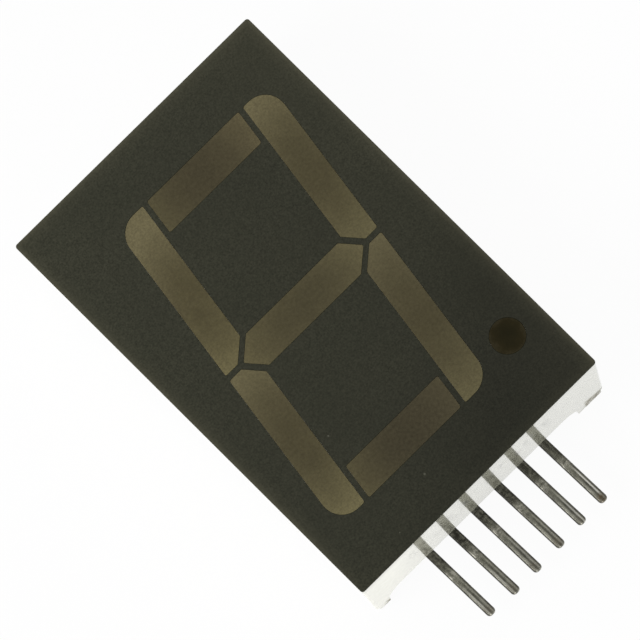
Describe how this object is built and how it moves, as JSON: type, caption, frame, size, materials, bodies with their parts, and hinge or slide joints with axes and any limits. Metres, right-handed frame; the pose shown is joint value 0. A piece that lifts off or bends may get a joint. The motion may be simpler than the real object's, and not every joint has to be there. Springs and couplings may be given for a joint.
{
  "type": "seven segment display",
  "caption": "Single-digit seven segment LED display with a decimal point: a white reflector box with a dark face and a row of flat pins in the plane of its board.",
  "frame": {"origin": "on the surface that it rests on, under the middle of its bounding box, pins included", "axes": "+Z is the viewing side, +Y is the top of the digit, +X its right; the pins point along -Y"},
  "size_m": [0.0254, 0.0458, 0.011],
  "materials": {
    "white_plastic": "glossy moulded white plastic with light grey scuffs",
    "face_print": "matt dark olive grey printed film",
    "bar_resin": "matt diffusing resin, olive brown when unlit",
    "point_resin": "matt dark brown resin",
    "board": "glass fibre board with a green mask",
    "copper": "etched copper",
    "die": "semiconductor",
    "wire": "gold bond wire",
    "tinned_pin": "dull streaky tinned metal",
    "solder": "solder, satin"
  },
  "bodies": {
    "root": {"housing": "white_plastic", "face_film": "face_print", "segment_a": "bar_resin", "segment_b": "bar_resin", "segment_c": "bar_resin", "segment_d": "bar_resin", "segment_e": "bar_resin", "segment_f": "bar_resin", "segment_g": "bar_resin", "decimal_point": "point_resin", "circuit_board": "board", "front_tracks": "copper", "back_tracks": "copper", "via_barrels": "copper", "led_dies_a": "die", "led_dies_b": "die", "led_dies_c": "die", "led_dies_d": "die", "led_dies_e": "die", "led_dies_f": "die", "led_dies_g": "die", "led_die_point": "die", "bond_wires_a": "wire", "bond_wires_b": "wire", "bond_wires_c": "wire", "bond_wires_d": "wire", "bond_wires_e": "wire", "bond_wires_f": "wire", "bond_wires_g": "wire", "bond_wire_point": "wire", "pin_1": "tinned_pin", "pin_2": "tinned_pin", "pin_3": "tinned_pin", "pin_4": "tinned_pin", "pin_5": "tinned_pin", "pin_6": "tinned_pin", "solder_1": "solder", "solder_2": "solder", "solder_3": "solder", "solder_4": "solder", "solder_5": "solder", "solder_6": "solder"}
  },
  "joints": []
}
